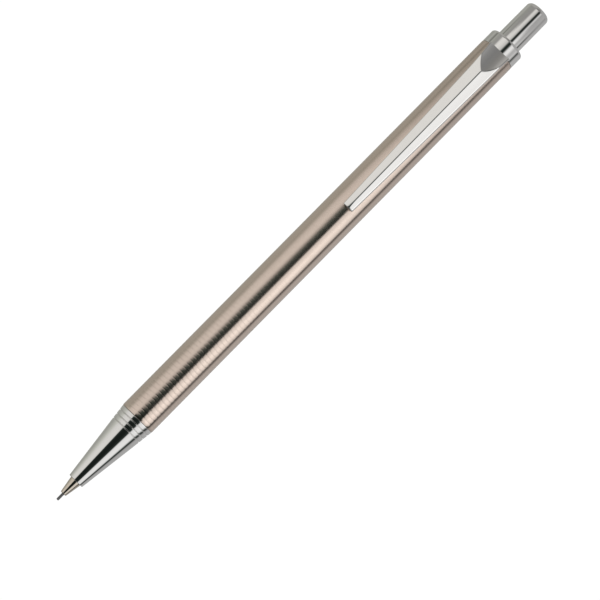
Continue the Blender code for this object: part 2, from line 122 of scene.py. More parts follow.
def eased(outline, closed, reach):
    """The outline with its sharp corners rounded, and a plain strip at each end of a long face.

    The strips keep smooth shading from bending the light across the whole face.
    """
    points = [Vector(point) for point in outline]
    count = len(points)
    result = []
    for index, corner in enumerate(points):
        before = points[index - 1]
        after = points[(index + 1) % count]
        incoming = corner - before
        outgoing = after - corner
        at_end = not closed and index in (0, count - 1)
        if at_end or incoming.length == 0.0 or outgoing.length == 0.0:
            result.append(corner)
            continue
        into = incoming.normalized()
        out = outgoing.normalized()
        sharp = incoming.angle(outgoing) > SHARP_CORNER
        cut = min(reach, 0.4 * incoming.length, 0.4 * outgoing.length) if sharp else 0.0
        if incoming.length > 10.0 * (cut + SUPPORT):
            result.append(corner - into * (cut + SUPPORT))
        if sharp:
            start = corner - into * cut
            end = corner + out * cut
            for step in range(EDGE_STEPS + 1):
                share = step / EDGE_STEPS
                rest = 1.0 - share
                result.append(start * rest ** 2 + corner * 2 * share * rest + end * share * share)
        else:
            result.append(corner)
        if outgoing.length > 10.0 * (cut + SUPPORT):
            result.append(corner + out * (cut + SUPPORT))
    return [(point.x, point.y) for point in result]


# ---------------------------------------------------------------- mesh building


def placed(station, across, up):
    """Where a place given in the pencil's own millimetres is in the frame."""
    return Vector((POINT_X + station * MM, across * MM, AXIS_HEIGHT + up * MM))


def add_piece(name, mesh, material, body, node):
    """Puts a mesh in the scene as the piece that stands for a CAD node."""
    piece = bpy.data.objects.new(name, mesh)
    piece.data.materials.append(material)
    bpy.context.scene.collection.objects.link(piece)
    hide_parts(node)
    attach(piece, body)
    return piece


def finish_mesh(name, shape, sharp_angle=40.0):
    """A smoothly shaded mesh from a finished bmesh, with edges above the angle kept sharp."""
    bmesh.ops.remove_doubles(shape, verts=shape.verts, dist=1e-8)
    bmesh.ops.recalc_face_normals(shape, faces=shape.faces)
    mesh = bpy.data.meshes.new(name)
    shape.to_mesh(mesh)
    shape.free()
    mesh.shade_smooth()
    mesh.set_sharp_from_angle(angle=math.radians(sharp_angle))
    return mesh


def spun(name, outline, closed, thread=None, sides=SIDES, offset=(0.0, 0.0)):
    """The outline spun round the pencil's axis. A thread is (first, last, pitch, depth)."""
    shape = bmesh.new()
    rings = []
    for station, radius in outline:
        ring = []
        for side in range(sides if radius > 0.0 else 1):
            turn = side / sides
            deep = thread_depth(thread, station, turn)
            angle = 2.0 * math.pi * turn
            across = offset[0] + (radius - deep) * math.sin(angle)
            up = offset[1] + (radius - deep) * math.cos(angle)
            ring.append(shape.verts.new(placed(station, across, up)))
        rings.append(ring)
    pairs = list(zip(rings, rings[1:]))
    if closed:
        pairs.append((rings[-1], rings[0]))
    for first, second in pairs:
        stitch(shape, first, second, sides)
    return finish_mesh(name, shape)


def thread_depth(thread, station, turn):
    """How deep a helical groove is at a place, fading out at both ends of the thread."""
    if thread is None:
        return 0.0
    first, last, pitch, depth = thread
    if not first < station < last:
        return 0.0
    fade = min(1.0, (station - first) / pitch, (last - station) / pitch)
    phase = (station / pitch + turn) % 1.0
    return depth * fade * (1.0 - abs(2.0 * phase - 1.0))


def stitch(shape, first, second, sides):
    """Faces between two rings, either of which may be one point on the axis."""
    if len(first) == 1 and len(second) == 1:
        return
    for side in range(sides):
        after = (side + 1) % sides
        if len(first) == 1:
            shape.faces.new((first[0], second[side], second[after]))
        elif len(second) == 1:
            shape.faces.new((first[side], second[0], first[after]))
        else:
            shape.faces.new((first[side], second[side], second[after], first[after]))


def turned(node, material, body, outer, bore=(), reach=EDGE, thread=None, **options):
    """A turned piece that stands for a CAD node. Both outlines run towards the button."""
    outline = list(reversed(outer)) + list(bore)
    closed = outline[0][1] > 0.0 and outline[-1][1] > 0.0
    outline = eased(outline, closed, reach)
    mesh = spun(node + "_turned", outline, closed, thread, **options)
    return add_piece(node + "_turned", mesh, material, body, node)


def threaded_line(first, last, radius, pitch):
    """Outline points close enough together to carry a thread."""
    steps = int((last - first) / pitch * THREAD_STEPS)
    return [(first + (last - first) * step / steps, radius) for step in range(steps + 1)]


def cut_box(piece, name, low, high):
    """Cuts a box out of a piece. Corners are (station, across, height above the axis)."""
    low_corner = placed(*low)
    high_corner = placed(*high)
    size = high_corner - low_corner
    middle = (low_corner + high_corner) / 2.0
    box = bmesh.new()
    bmesh.ops.create_cube(box, size=1.0, matrix=Matrix.Translation(middle) @ Matrix.Diagonal(size.to_4d()))
    mesh = bpy.data.meshes.new(name)
    box.to_mesh(mesh)
    box.free()
    tool = bpy.data.objects.new(name, mesh)
    bpy.context.scene.collection.objects.link(tool)
    boolean = piece.modifiers.new(name, "BOOLEAN")
    boolean.operation = "DIFFERENCE"
    boolean.solver = "EXACT"
    boolean.object = tool
    cut = bpy.data.meshes.new_from_object(piece.evaluated_get(bpy.context.evaluated_depsgraph_get()))
    piece.modifiers.clear()
    piece.data = cut
    bpy.data.objects.remove(tool, do_unlink=True)


# ---------------------------------------------------------------- materials


class Nodes:
    """A material's node tree, with short ways to add and link nodes."""

    def __init__(self, name):
        self.material = bpy.data.materials.new(name)
        self.material.use_nodes = True
        self.tree = self.material.node_tree
        self.shader = self.tree.nodes["Principled BSDF"]

    def add(self, kind, **values):
        """A new node, with values for its inputs or its own settings."""
        node = self.tree.nodes.new(kind)
        for key, value in values.items():
            if key in node.inputs:
                node.inputs[key].default_value = value
            else:
                setattr(node, key, value)
        return node

    def link(self, output, socket):
        """Joins an output to an input."""
        self.tree.links.new(output, socket)

    def set(self, **values):
        """Sets the surface shader's inputs."""
        for key, value in values.items():
            self.shader.inputs[key.replace("_", " ")].default_value = value


CLOUD_SCALE = 350.0  # noise cells in a metre
POLISH_SCALE = 1800.0
LATHE_SCALE = 260.0
LATHE_STRETCH = 90.0  # how much finer the lathe's lines are along the pencil


def grain(nodes, scale, stretch, detail=3.0):
    """Noise in the object's own metres, finer along the pencil than round it where stretched."""
    place = nodes.add("ShaderNodeTexCoord")
    mapping = nodes.add("ShaderNodeMapping")
    mapping.inputs["Scale"].default_value = (scale * stretch, scale, scale)
    noise = nodes.add("ShaderNodeTexNoise", Scale=1.0, Detail=detail, Roughness=0.6)
    nodes.link(place.outputs["Object"], mapping.inputs["Vector"])
    nodes.link(mapping.outputs["Vector"], noise.inputs["Vector"])
    return noise.outputs["Fac"]


def ranged(nodes, value, low, high):
    """A 0 to 1 value spread between two numbers, from its usual 0.3 to 0.7."""
    spread = nodes.add("ShaderNodeMapRange")
    spread.inputs["From Min"].default_value = 0.3
    spread.inputs["From Max"].default_value = 0.7
    spread.inputs["To Min"].default_value = low
    spread.inputs["To Max"].default_value = high
    nodes.link(value, spread.inputs["Value"])
    return spread.outputs["Result"]


def tinted(nodes, value, dark, light):
    """A colour between two, by a 0 to 1 value."""
    ramp = nodes.add("ShaderNodeValToRGB")
    ramp.color_ramp.elements[0].position = 0.3
    ramp.color_ramp.elements[0].color = (*dark, 1.0)
    ramp.color_ramp.elements[1].position = 0.7
    ramp.color_ramp.elements[1].color = (*light, 1.0)
    nodes.link(value, ramp.inputs["Fac"])
    return ramp.outputs["Color"]


def bumped(nodes, value, distance):
    """Relief of a depth in metres, by a 0 to 1 value."""
    bump = nodes.add("ShaderNodeBump", Strength=1.0, Distance=distance)
    nodes.link(value, bump.inputs["Height"])
    nodes.link(bump.outputs["Normal"], nodes.shader.inputs["Normal"])


def plated(name, dark, light, smooth, rough, line_depth=0.0):
    """A plated or turned metal: cloudy tint, uneven polish, and lathe lines round the pencil."""
    nodes = Nodes(name)
    nodes.set(Metallic=1.0)
    cloud = grain(nodes, CLOUD_SCALE, 1.0)
    polish = grain(nodes, POLISH_SCALE, 1.0)
    nodes.link(tinted(nodes, cloud, dark, light), nodes.shader.inputs["Base Color"])
    nodes.link(ranged(nodes, polish, smooth, rough), nodes.shader.inputs["Roughness"])
    if line_depth > 0.0:
        cut = grain(nodes, LATHE_SCALE, LATHE_STRETCH, 4.0)
        bumped(nodes, cut, line_depth)
    return nodes.material


def plain(name, dark, light, smooth, rough, grain_scale, depth, metallic=0.0):
    """Rubber, plastic or graphite: speckled colour, uneven sheen and a fine grain."""
    nodes = Nodes(name)
    nodes.set(Metallic=metallic)
    speck = grain(nodes, grain_scale, 1.0, 5.0)
    nodes.link(tinted(nodes, speck, dark, light), nodes.shader.inputs["Base Color"])
    nodes.link(ranged(nodes, speck, smooth, rough), nodes.shader.inputs["Roughness"])
    bumped(nodes, speck, depth)
    return nodes.material


CHAMPAGNE_TINTS = ((0.745, 0.622, 0.542), (0.765, 0.642, 0.562))
champagne = plated("champagne_nickel", *CHAMPAGNE_TINTS, 0.13, 0.19, 0.0000004)
chrome = plated("polished_chrome", (0.87, 0.86, 0.845), (0.89, 0.88, 0.865), 0.02, 0.05)
clip_chrome = plated("clip_chrome", (0.89, 0.875, 0.855), (0.91, 0.895, 0.875), 0.03, 0.06)
polished_champagne = plated("polished_champagne", *CHAMPAGNE_TINTS, 0.05, 0.08)
warm_nickel = plated("warm_nickel", (0.73, 0.65, 0.555), (0.75, 0.67, 0.575), 0.06, 0.1)
brass = plated("turned_brass", (0.70, 0.50, 0.22), (0.76, 0.57, 0.28), 0.18, 0.3, 0.000001)
holder_metal = plated("turned_aluminium", (0.76, 0.77, 0.78), (0.82, 0.82, 0.83), 0.18, 0.3, 0.000001)
spring_steel = plated("spring_steel", (0.50, 0.51, 0.53), (0.58, 0.59, 0.61), 0.2, 0.32)
graphite = plain("graphite", (0.19, 0.19, 0.195), (0.26, 0.26, 0.265), 0.35, 0.5, 9000.0, 0.000002, 0.25)
retainer_rubber = plain("retainer_rubber", (0.02,) * 3, (0.04,) * 3, 0.7, 0.9, 5000.0, 0.000003)
eraser_rubber = plain("eraser_rubber", (0.80, 0.79, 0.76), (0.88, 0.87, 0.84), 0.6, 0.8, 2500.0, 0.000004)
tube_plastic = plain("tube_plastic", (0.70, 0.73, 0.75), (0.78, 0.80, 0.82), 0.3, 0.42, 900.0, 0.000001)


# ---------------------------------------------------------------- point

NOSE_FRONT_R = 1.74
CONE_BACK_R = 3.54  # where the straight cone ends at the first groove
RIB_PITCH = 1.04
RIB_GROOVES = (14.17, 15.21, 16.25)  # from the nose's front
RIB_FOOT_R = (3.39, 3.52, 3.65, 3.77)
RIB_RISE = 0.17
# how a rib rises out of its groove and falls into the next, as shares of its pitch and its rise
RIB_SHAPE = (
    (0.0, 0.0), (0.03, 0.7), (0.08, 0.97), (0.2, 1.0),
    (0.6, 1.0), (0.75, 0.98), (0.87, 0.94), (0.91, 0.1),
)
RIB_FALL_POINTS = 3  # the last of those, which the rib against the barrel lacks
LAST_RIB_R = 3.925
CLUTCH_STOP = 7.75  # the step inside that the clutch ring stops on, from the nose's front
TIP_FRONT_R = 0.68
TIP_SEAT = 1.8  # where the tip cone's flange stops, from the nose's front
TIP_CUP_R = 1.6
TIP_CUP_BORE_R = 1.25


def nose_cone():
    """The straight chrome cone, its turned grooves and ribs, and the threaded spigot."""
    shoulder = BARREL_FRONT - FACE_GAP
    first_groove = NOSE_FRONT + RIB_GROOVES[0]
    outer = [(NOSE_FRONT, NOSE_FRONT_R - 0.07), (NOSE_FRONT + 0.07, NOSE_FRONT_R)]
    outer.append((first_groove - 0.13 * RIB_PITCH, CONE_BACK_R))
    outer.append((first_groove - 0.09 * RIB_PITCH, RIB_FOOT_R[0] + 0.02))
    for groove, foot, next_foot in zip(RIB_GROOVES, RIB_FOOT_R, RIB_FOOT_R[1:]):
        for share, rise in RIB_SHAPE:
            station = NOSE_FRONT + groove + RIB_PITCH * share
            outer.append((station, foot + (next_foot - foot) * share + RIB_RISE * rise))
    outer[-RIB_FALL_POINTS:] = [(shoulder, LAST_RIB_R), (shoulder, THREAD_R)]
    outer += threaded_line(shoulder + 0.5, SPIGOT_END - 0.3, THREAD_R, THREAD_PITCH)
    outer.append((SPIGOT_END, THREAD_R - 0.25))
    tip_bore = TIP_BACK_R + SLIDE_GAP
    cup_bore = TIP_CUP_R + SLIDE_GAP
    seat = NOSE_FRONT + TIP_SEAT
    clutch_stop = NOSE_FRONT + CLUTCH_STOP
    bore = [
        (NOSE_FRONT, tip_bore),
        (seat, tip_bore),
        (seat, cup_bore),
        (clutch_stop, cup_bore),
        (clutch_stop, 2.0),
        (clutch_stop + 4.0, SPIGOT_BORE_R),
        (SPIGOT_END, SPIGOT_BORE_R),
    ]
    thread = (shoulder + 0.6, SPIGOT_END - 0.3, THREAD_PITCH, THREAD_DEPTH)
    turned("nose_cone", chrome, "nose", outer, bore, thread=thread)


def tip_cone():
    """The small cone that guides the lead, and its cup, which stops inside the nose."""
    seat = NOSE_FRONT + TIP_SEAT + FACE_GAP
    cup = seat + 0.77
    lead_bore = LEAD_R + SLIDE_GAP
    outer = [
        (TIP_FRONT, TIP_FRONT_R - 0.1),
        (TIP_FRONT + 0.1, TIP_FRONT_R),
        (NOSE_FRONT, TIP_BACK_R),
        (seat, TIP_BACK_R),
        (seat, TIP_CUP_R),
        (TIP_CUP_END, TIP_CUP_R),
    ]
    bore = [(TIP_FRONT, lead_bore), (cup, lead_bore), (cup, TIP_CUP_BORE_R), (TIP_CUP_END, TIP_CUP_BORE_R)]
    turned("tip_cone", warm_nickel, "tip", outer, bore, reach=0.04)


def lead_retainer():
    """The rubber washer in the tip's cup, with a funnel that leads the lead in."""
    front, end = ends("lead_retainer")
    radius = TIP_CUP_BORE_R - SEAT_GAP
    grip = LEAD_R + SEAT_GAP
    bore = [(front, grip), (end - 0.6, grip), (end, 0.755)]
    turned("lead_retainer", retainer_rubber, "tip", [(front, radius), (end, radius)], bore)


def leads():
    """The lead in use, with a blunt point, and the spare leads in the tube."""
    end = ends("lead")[1]
    rod = [(0.0, 0.0), (0.0, 0.19), (0.1, LEAD_R), (end, LEAD_R), (end, 0.0)]
    turned("lead", graphite, "lead", rod, reach=0.05, sides=48)
    for index in range(3):
        node = f"spare_lead_{index + 1}"
        low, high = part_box(node)
        front, end = ends(node)
        middle = ((low.y + high.y) / 2.0 / MM, ((low.z + high.z) / 2.0 - AXIS_HEIGHT) / MM)
        rod = [(front, 0.0), (front, LEAD_R), (end, LEAD_R), (end, 0.0)]
        turned(node, graphite, "advance", rod, reach=0.04, sides=32, offset=middle)


# ---------------------------------------------------------------- barrel

RING_PITCH = 0.97
RING_DEPTH = 0.03
POLISHED_FRONT = 2.3  # a brighter band before the brushed length
RINGS_LENGTH = 44.0  # where the rings have faded out
RING_STEPS = 30  # outline points in one ring
PLAIN_STEPS = 15  # of those, left out for the chamfer at the barrel's front
NOTCH_DEPTH = 0.45  # of the notch for the clip's tab


def ring_depth(distance):
    """Depth of the turned rings at a distance behind the barrel's front, fading along it."""
    phase = distance / RING_PITCH % 1.0
    valley = max(0.0, 1.0 - min(phase, 1.0 - phase) / 0.15) ** 2
    half_way = max(0.0, 1.0 - abs(phase - 0.5) / 0.12) ** 2
    bead = (2.0 * phase - 1.0) ** 2
    fade = max(0.0, 1.0 - (distance / RINGS_LENGTH) ** 2)
    return RING_DEPTH * fade * (0.18 * valley + 0.1 * half_way + 0.5 * bead)


def barrel():
    """The tube with its turned rings, its polished front and the notch for the clip's tab."""
    outer = [
        (BARREL_FRONT, BARREL_R - 0.08),
        (BARREL_FRONT + 0.08, BARREL_R - 0.035),
        (BARREL_FRONT + 0.3, BARREL_R - 0.015),
    ]
    step = RING_PITCH / RING_STEPS
    for index in range(PLAIN_STEPS, int(RINGS_LENGTH / step)):
        distance = index * step
        outer.append((BARREL_FRONT + distance, BARREL_R - ring_depth(distance)))
    notch = BARREL_END - NOTCH_DEPTH
    # an outline point just ahead of the notch keeps its cut out of the long faces
    before_notch = notch - 0.2
    outer += [(before_notch, BARREL_R), (BARREL_END - 0.15, BARREL_R), (BARREL_END, BARREL_R - 0.1)]
    bore = [(BARREL_FRONT, BARREL_BORE_R), (before_notch, BARREL_BORE_R), (BARREL_END, BARREL_BORE_R)]
    tube = turned("barrel", champagne, "barrel", outer, bore)
    cut_box(tube, "tab_notch", (notch, -1.55, 3.05), (BARREL_END + 1.0, 1.55, 5.0))
    tube.data.materials.append(polished_champagne)
    for face in tube.data.polygons:
        if face.center.x < POINT_X + (BARREL_FRONT + POLISHED_FRONT) * MM:
            face.material_index = 1


# ---------------------------------------------------------------- mechanism


def front_bush():
    """The insert in the barrel's front end, which takes the nose's and the housing's threads."""
    front, end = ends("front_bush")
    bush_bore = THREAD_R + SLIDE_GAP
    bore = [(front, bush_bore), (end, bush_bore)]
    turned("front_bush", brass, "barrel", [(front, BUSH_R), (end, BUSH_R)], bore)


def clutch_ring():
    """The ring that holds the chuck's jaws closed."""
    front, end = ends("clutch_ring")
    radius = radius_of("clutch_ring")
    outer = [(front, radius - 0.1), (front + 0.1, radius), (end - 0.1, radius), (end, radius - 0.1)]
    turned("clutch_ring", brass, "clutch", outer, [(front, 1.35), (end, 1.05)], reach=0.03)


def mechanism_housing():
    """The sleeve round the spring, screwed into the front bush behind the nose."""
    front, end = ends("mechanism_housing")
    flange = SPIGOT_END + 0.3
    outer = [(front, 2.05), (front + 2.0, HOUSING_R), (flange, HOUSING_R), (flange, THREAD_R)]
    outer += threaded_line(flange + 0.3, end, THREAD_R, THREAD_PITCH)
    wall = front + 1.5
    bore = [(front, 1.15), (wall, 1.15), (wall, 2.0), (end, 2.0)]
    thread = (flange + 0.4, end, THREAD_PITCH, THREAD_DEPTH)
    turned("mechanism_housing", brass, "barrel", outer, bore, thread=thread)


def tube_connector():
    """The sleeve that joins the chuck to the lead tube."""
    front, end = ends("tube_connector")
    head = front + 2.6
    plug = TUBE_BORE_R - SEAT_GAP
    outer = [(front, TUBE_R), (head, TUBE_R), (head, plug), (end, plug)]
    socket = front + 3.03
    bore = [(front, 0.87), (socket, 0.87), (socket, 0.5), (socket + 1.0, 0.5), (end, 1.23)]
    turned("tube_connector", brass, "advance", outer, bore)


def lead_tube():
    """The tube for spare leads, with the flange that the button pushes on."""
    front, end = ends("lead_tube")
    flange = BUTTON_FRONT - FACE_GAP
    flange_front = flange - 0.9
    flange_r = 2.6
    outer = [(front, TUBE_R), (flange_front, TUBE_R), (flange_front, flange_r)]
    outer += [(flange, flange_r), (flange, TUBE_R), (end, TUBE_R)]
    turned("lead_tube", tube_plastic, "advance", outer, [(front, TUBE_BORE_R), (end, TUBE_BORE_R)])


SPRING_WIRE_R = 0.18
SPRING_TURNS = 10
SPRING_CLOSED_PITCH = 0.4
SPRING_STEPS = 32  # in one turn
WIRE_SIDES = 12


def spring():
    """The chuck's spring, with a closed turn at each end. It keeps one length as the button goes in."""
    low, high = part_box("chuck_spring")
    reach = (high.z - low.z) / 2.0 / MM - SPRING_WIRE_R
    front, end = ends("chuck_spring")
    first = front + SPRING_WIRE_R
    open_pitch = (end - front - 2.0 * (SPRING_WIRE_R + SPRING_CLOSED_PITCH)) / (SPRING_TURNS - 2)
    shape = bmesh.new()
    rings = []
    for step in range(SPRING_TURNS * SPRING_STEPS + 1):
        turn = step / SPRING_STEPS
        closed = min(turn, 1.0) + max(turn - (SPRING_TURNS - 1), 0.0)
        middle = first + closed * SPRING_CLOSED_PITCH + (turn - closed) * open_pitch
        angle = 2.0 * math.pi * turn
        ring = []
        for side in range(WIRE_SIDES):
            round_wire = 2.0 * math.pi * side / WIRE_SIDES
            station = middle + SPRING_WIRE_R * math.sin(round_wire)
            radius = reach + SPRING_WIRE_R * math.cos(round_wire)
            across = -radius * math.sin(angle)
            up = radius * math.cos(angle)
            ring.append(shape.verts.new(placed(station, across, up)))
        rings.append(ring)
    for near, far in zip(rings, rings[1:]):
        stitch(shape, near, far, WIRE_SIDES)
    shape.faces.new(rings[0])
    shape.faces.new(rings[-1])
    mesh = finish_mesh("chuck_spring_wire", shape)
    piece = add_piece("chuck_spring_wire", mesh, spring_steel, "barrel", "chuck_spring")
    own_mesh(piece)


def kept_shapes():
    """The split collet and the clip's ring keep their CAD shapes."""
    for node, material in (("chuck", brass), ("clip_ring", clip_chrome)):
        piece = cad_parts[node]
        piece.data.materials.clear()
        piece.data.materials.append(material)


# ---------------------------------------------------------------- top end


def top_bush():
    """The insert in the barrel's end, whose neck carries the collar and guides the button."""
    front, end = ends("top_bush")
    outer = [(front, BUSH_R), (BARREL_END, BUSH_R), (BARREL_END, NECK_R), (end, NECK_R)]
    step = BUTTON_FRONT - 3.58
    guide = BUTTON_R + SLIDE_GAP
    bore = [(front, 2.05), (step, 2.05), (step, guide), (end, guide)]
    turned("top_bush", brass, "barrel", outer, bore)


def collar():
    """The chrome ring over the bush's neck, with a recess in front for the clip's ring."""
    recess_end = COLLAR_FRONT + 0.42
    recess = COLLAR_R - 0.2
    neck_end = COLLAR_END - 0.72
    neck_bore = NECK_R + SEAT_GAP
    edge = 0.55
    guide = BUTTON_R + SLIDE_GAP
    outer = [(COLLAR_FRONT, COLLAR_R - 0.05), (COLLAR_FRONT + 0.05, COLLAR_R)]
    outer.append((COLLAR_END - edge - SUPPORT, COLLAR_R))
    outer += arc(COLLAR_END - edge, COLLAR_R - edge, edge, 0.0, 90.0, 12)
    bore = [
        (COLLAR_FRONT, recess),
        (recess_end, recess),
        (recess_end, neck_bore),
        (neck_end, neck_bore),
        (neck_end, guide),
        (COLLAR_END, guide),
    ]
    turned("collar", chrome, "barrel", outer, bore, reach=0.04)


def push_button():
    """The chrome cap with its rounded end."""
    wall = 0.33
    edge = 1.0
    crown = 0.035  # the button is a little narrower at its far end
    length = BUTTON_END - edge - COLLAR_END
    outer = [(BUTTON_FRONT, BUTTON_R - 0.1), (BUTTON_FRONT + 0.1, BUTTON_R), (COLLAR_END, BUTTON_R)]
    for step in range(1, 13):
        share = step / 12.0
        outer.append((COLLAR_END + length * share, BUTTON_R - crown * share * share))
    outer += arc(BUTTON_END - edge, BUTTON_R - crown - edge, edge, 0.0, 90.0, 14)[1:]
    outer += [(BUTTON_END, BUTTON_R - edge - SUPPORT), (BUTTON_END, 0.0)]
    inner = BUTTON_R - wall
    roof = BUTTON_END - 0.6
    bore = [(BUTTON_FRONT, inner), (BUTTON_END - 0.9, inner), (roof, inner - 0.4), (roof, 0.0)]
    turned("push_button", chrome, "button", outer, bore)


def eraser():
    """The eraser and its holder, which plugs the lead tube."""
    front, end = ends("eraser_holder")
    plug = TUBE_BORE_R - SEAT_GAP
    rim = ends("lead_tube")[1] + FACE_GAP
    radius = radius_of("eraser_holder")
    outer = [(front, plug), (rim, plug), (rim, radius), (end, radius)]
    cup = radius_of("eraser") + SEAT_GAP
    bore = [(front, 1.13), (rim + 0.4, 1.13), (rim + 0.4, cup), (end, cup)]
    turned("eraser_holder", holder_metal, "eraser", outer, bore)
    front, end = ends("eraser")
    radius = radius_of("eraser")
    edge = 0.35
    outer = [(front, 0.0), (front, radius)]
    outer += arc(end - edge, radius - edge, edge, 0.0, 90.0) + [(end, 0.0)]
    turned("eraser", eraser_rubber, "eraser", outer)


# ---------------------------------------------------------------- clip

CLIP_TIP, CLIP_HEAD = ends("clip")
CLIP_APEX = CLIP_TIP + 38.2  # where the fold meets the facet
TIP_HALF_WIDTH = 1.22
APEX_HALF_WIDTH = 2.27
HEAD_FLARE = 0.15
TIP_HEIGHT = 5.15  # of the fold above the pencil's axis
APEX_HEIGHT = 6.5
ROOF_SLOPE = math.tan(math.radians(18.0))
SHEET = 0.5
FACET_SOFTNESS = 0.04  # depth over which the facet blends into the roof
LEFT_ROUND = 0.15  # of the edge on the +Y side
RIGHT_ROUND = 0.36
END_ROUND = 0.34  # of the free end, seen from the side
HEAD_ROUND = 0.08
CORNER_ROUND = 0.35  # of the free end's corners, seen from above
LEAN_AT_TIP = 0.39  # sideways place of the blade's middle
LEAN_AT_APEX = 0.19
FOOT_LENGTH = 4.0  # of the free end that bends down to the barrel
FOOT_HEIGHT = 4.06  # of its lowest part above the axis
SHOULDER = 3.0  # how far past the fold's end the blade turns down to its ring
CREASE = 0.05  # half the width of the fold's inside
FOLD_BLUNTNESS = 0.12  # how far aside of the ridge the fold is round, at the free end
FOLD_SHARPENING = 0.09  # how much less it is at the facet
END_BLUNTNESS = 0.2  # how much more it is in the last stretch before the free end
END_STRETCH = 2.5
SLOPE_HOLLOW = 0.016
FACET_SLOPE = 0.37
FACET_CURVE = 0.013
CLIP_COLUMNS = 40  # facets across the top of the blade
CLIP_ROUND_STEPS = 6
# cross-sections between the blade's ends: where each stretch begins, its step and their number
CLIP_STRETCHES = (
    (CLIP_TIP + 0.45, 0.15, 24),
    (CLIP_TIP + 4.5, 1.5, 21),
    (CLIP_APEX - 1.5, 0.08, 90),
)


def quarter_drop(distance, radius):
    """How far a round edge has fallen at a distance into its radius."""
    inside = min(max(distance, 0.0), radius)
    return radius - math.sqrt(radius * radius - inside * inside)


def blade_share(station):
    """0 at the clip's free end and 1 where the fold meets the facet."""
    return (station - CLIP_TIP) / (CLIP_APEX - CLIP_TIP)


def half_width(station):
    """The blade's half width: a long straight taper with round corners and a flared head."""
    flare = HEAD_FLARE * max(0.0, (station - CLIP_APEX) / (CLIP_HEAD - CLIP_APEX)) ** 2
    corner = quarter_drop(CLIP_TIP + CORNER_ROUND - station, CORNER_ROUND)
    return TIP_HALF_WIDTH + (APEX_HALF_WIDTH - TIP_HALF_WIDTH) * blade_share(station) + flare - corner


def middle_of(station):
    """Sideways place of the blade's middle, which is back on the axis at the collar."""
    lean = LEAN_AT_TIP + (LEAN_AT_APEX - LEAN_AT_TIP) * min(1.0, blade_share(station))
    return lean * min(1.0, (CLIP_HEAD - station) / (CLIP_HEAD - CLIP_APEX))


def ridge_height(station):
    """The fold's height above the axis, rising all the way to the facet."""
    return TIP_HEIGHT + (APEX_HEIGHT - TIP_HEIGHT) * blade_share(station)


def roof_height(station, across):
    """The folded roof. Its right slope is a little hollow, and its fold is blunter at the tip."""
    end_share = max(0.0, 1.0 - (station - CLIP_TIP) / END_STRETCH)
    blunt = FOLD_BLUNTNESS - FOLD_SHARPENING * blade_share(station) + END_BLUNTNESS * end_share ** 2
    fall = ROOF_SLOPE * (math.hypot(across, blunt) - blunt)
    if across < 0.0:
        fall -= SLOPE_HOLLOW * across * across
    return ridge_height(station) - fall


def clip_top(station, across):
    """Height of the clip's top: the roof, which a hollow facet cuts off at the head."""
    roof = roof_height(station, across)
    past = station - CLIP_APEX
    hollow = 0.13 if across < 0.0 else 0.05
    facet = APEX_HEIGHT - FACET_SLOPE * past + FACET_CURVE * past * past + hollow * across * across
    if past < -2.0:
        facet = roof + 1.0
    blended = (roof + facet - math.hypot(roof - facet, FACET_SOFTNESS)) / 2.0
    side_round = RIGHT_ROUND if across < 0.0 else LEFT_ROUND
    side = quarter_drop(abs(across) - half_width(station) + side_round, side_round)
    ends_drop = quarter_drop(CLIP_TIP + END_ROUND - station, END_ROUND)
    ends_drop += quarter_drop(station - CLIP_HEAD + HEAD_ROUND, HEAD_ROUND)
    return blended - side - ends_drop


def clip_under(station):
    """The underside at the clip's edges and in its middle, and half the middle's width."""
    ridge = ridge_height(station)
    edge = ridge - half_width(station) * ROOF_SLOPE - SHEET
    middle = ridge - SHEET
    from_tip = station - CLIP_TIP
    past = station - CLIP_APEX
    if from_tip < FOOT_LENGTH:
        foot = FOOT_HEIGHT + 0.22 * (from_tip - 1.2) ** 2
        side = foot if foot > edge else foot + 0.1
        return side, min(foot, middle), CREASE
    if past < 0.0:
        return edge, middle, CREASE
    apex_edge = APEX_HEIGHT - APEX_HALF_WIDTH * ROOF_SLOPE - SHEET
    if past < SHOULDER:
        return apex_edge - 0.05 * past, min(middle, apex_edge + SHEET - 0.12 * past), CREASE
    turn_down = min(1.0, (past - SHOULDER) / 1.5)
    side = apex_edge - 0.15 - 1.6 * turn_down
    return side, apex_edge + 0.14 - 1.05 * turn_down, CREASE + 1.65 * turn_down


def clip_stations():
    """Where the blade's cross-sections are, close together at its ends and round the facet."""
    rounding = [1.0 - math.cos(math.radians(15.0 * step)) for step in range(CLIP_ROUND_STEPS + 1)]
    stations = [CLIP_TIP + END_ROUND * share for share in rounding]
    for start, gap, count in CLIP_STRETCHES:
        stations += [start + gap * index for index in range(count)]
    stations += [CLIP_HEAD - HEAD_ROUND * share for share in reversed(rounding)]
    return sorted(station for station in set(stations) if station <= CLIP_HEAD)


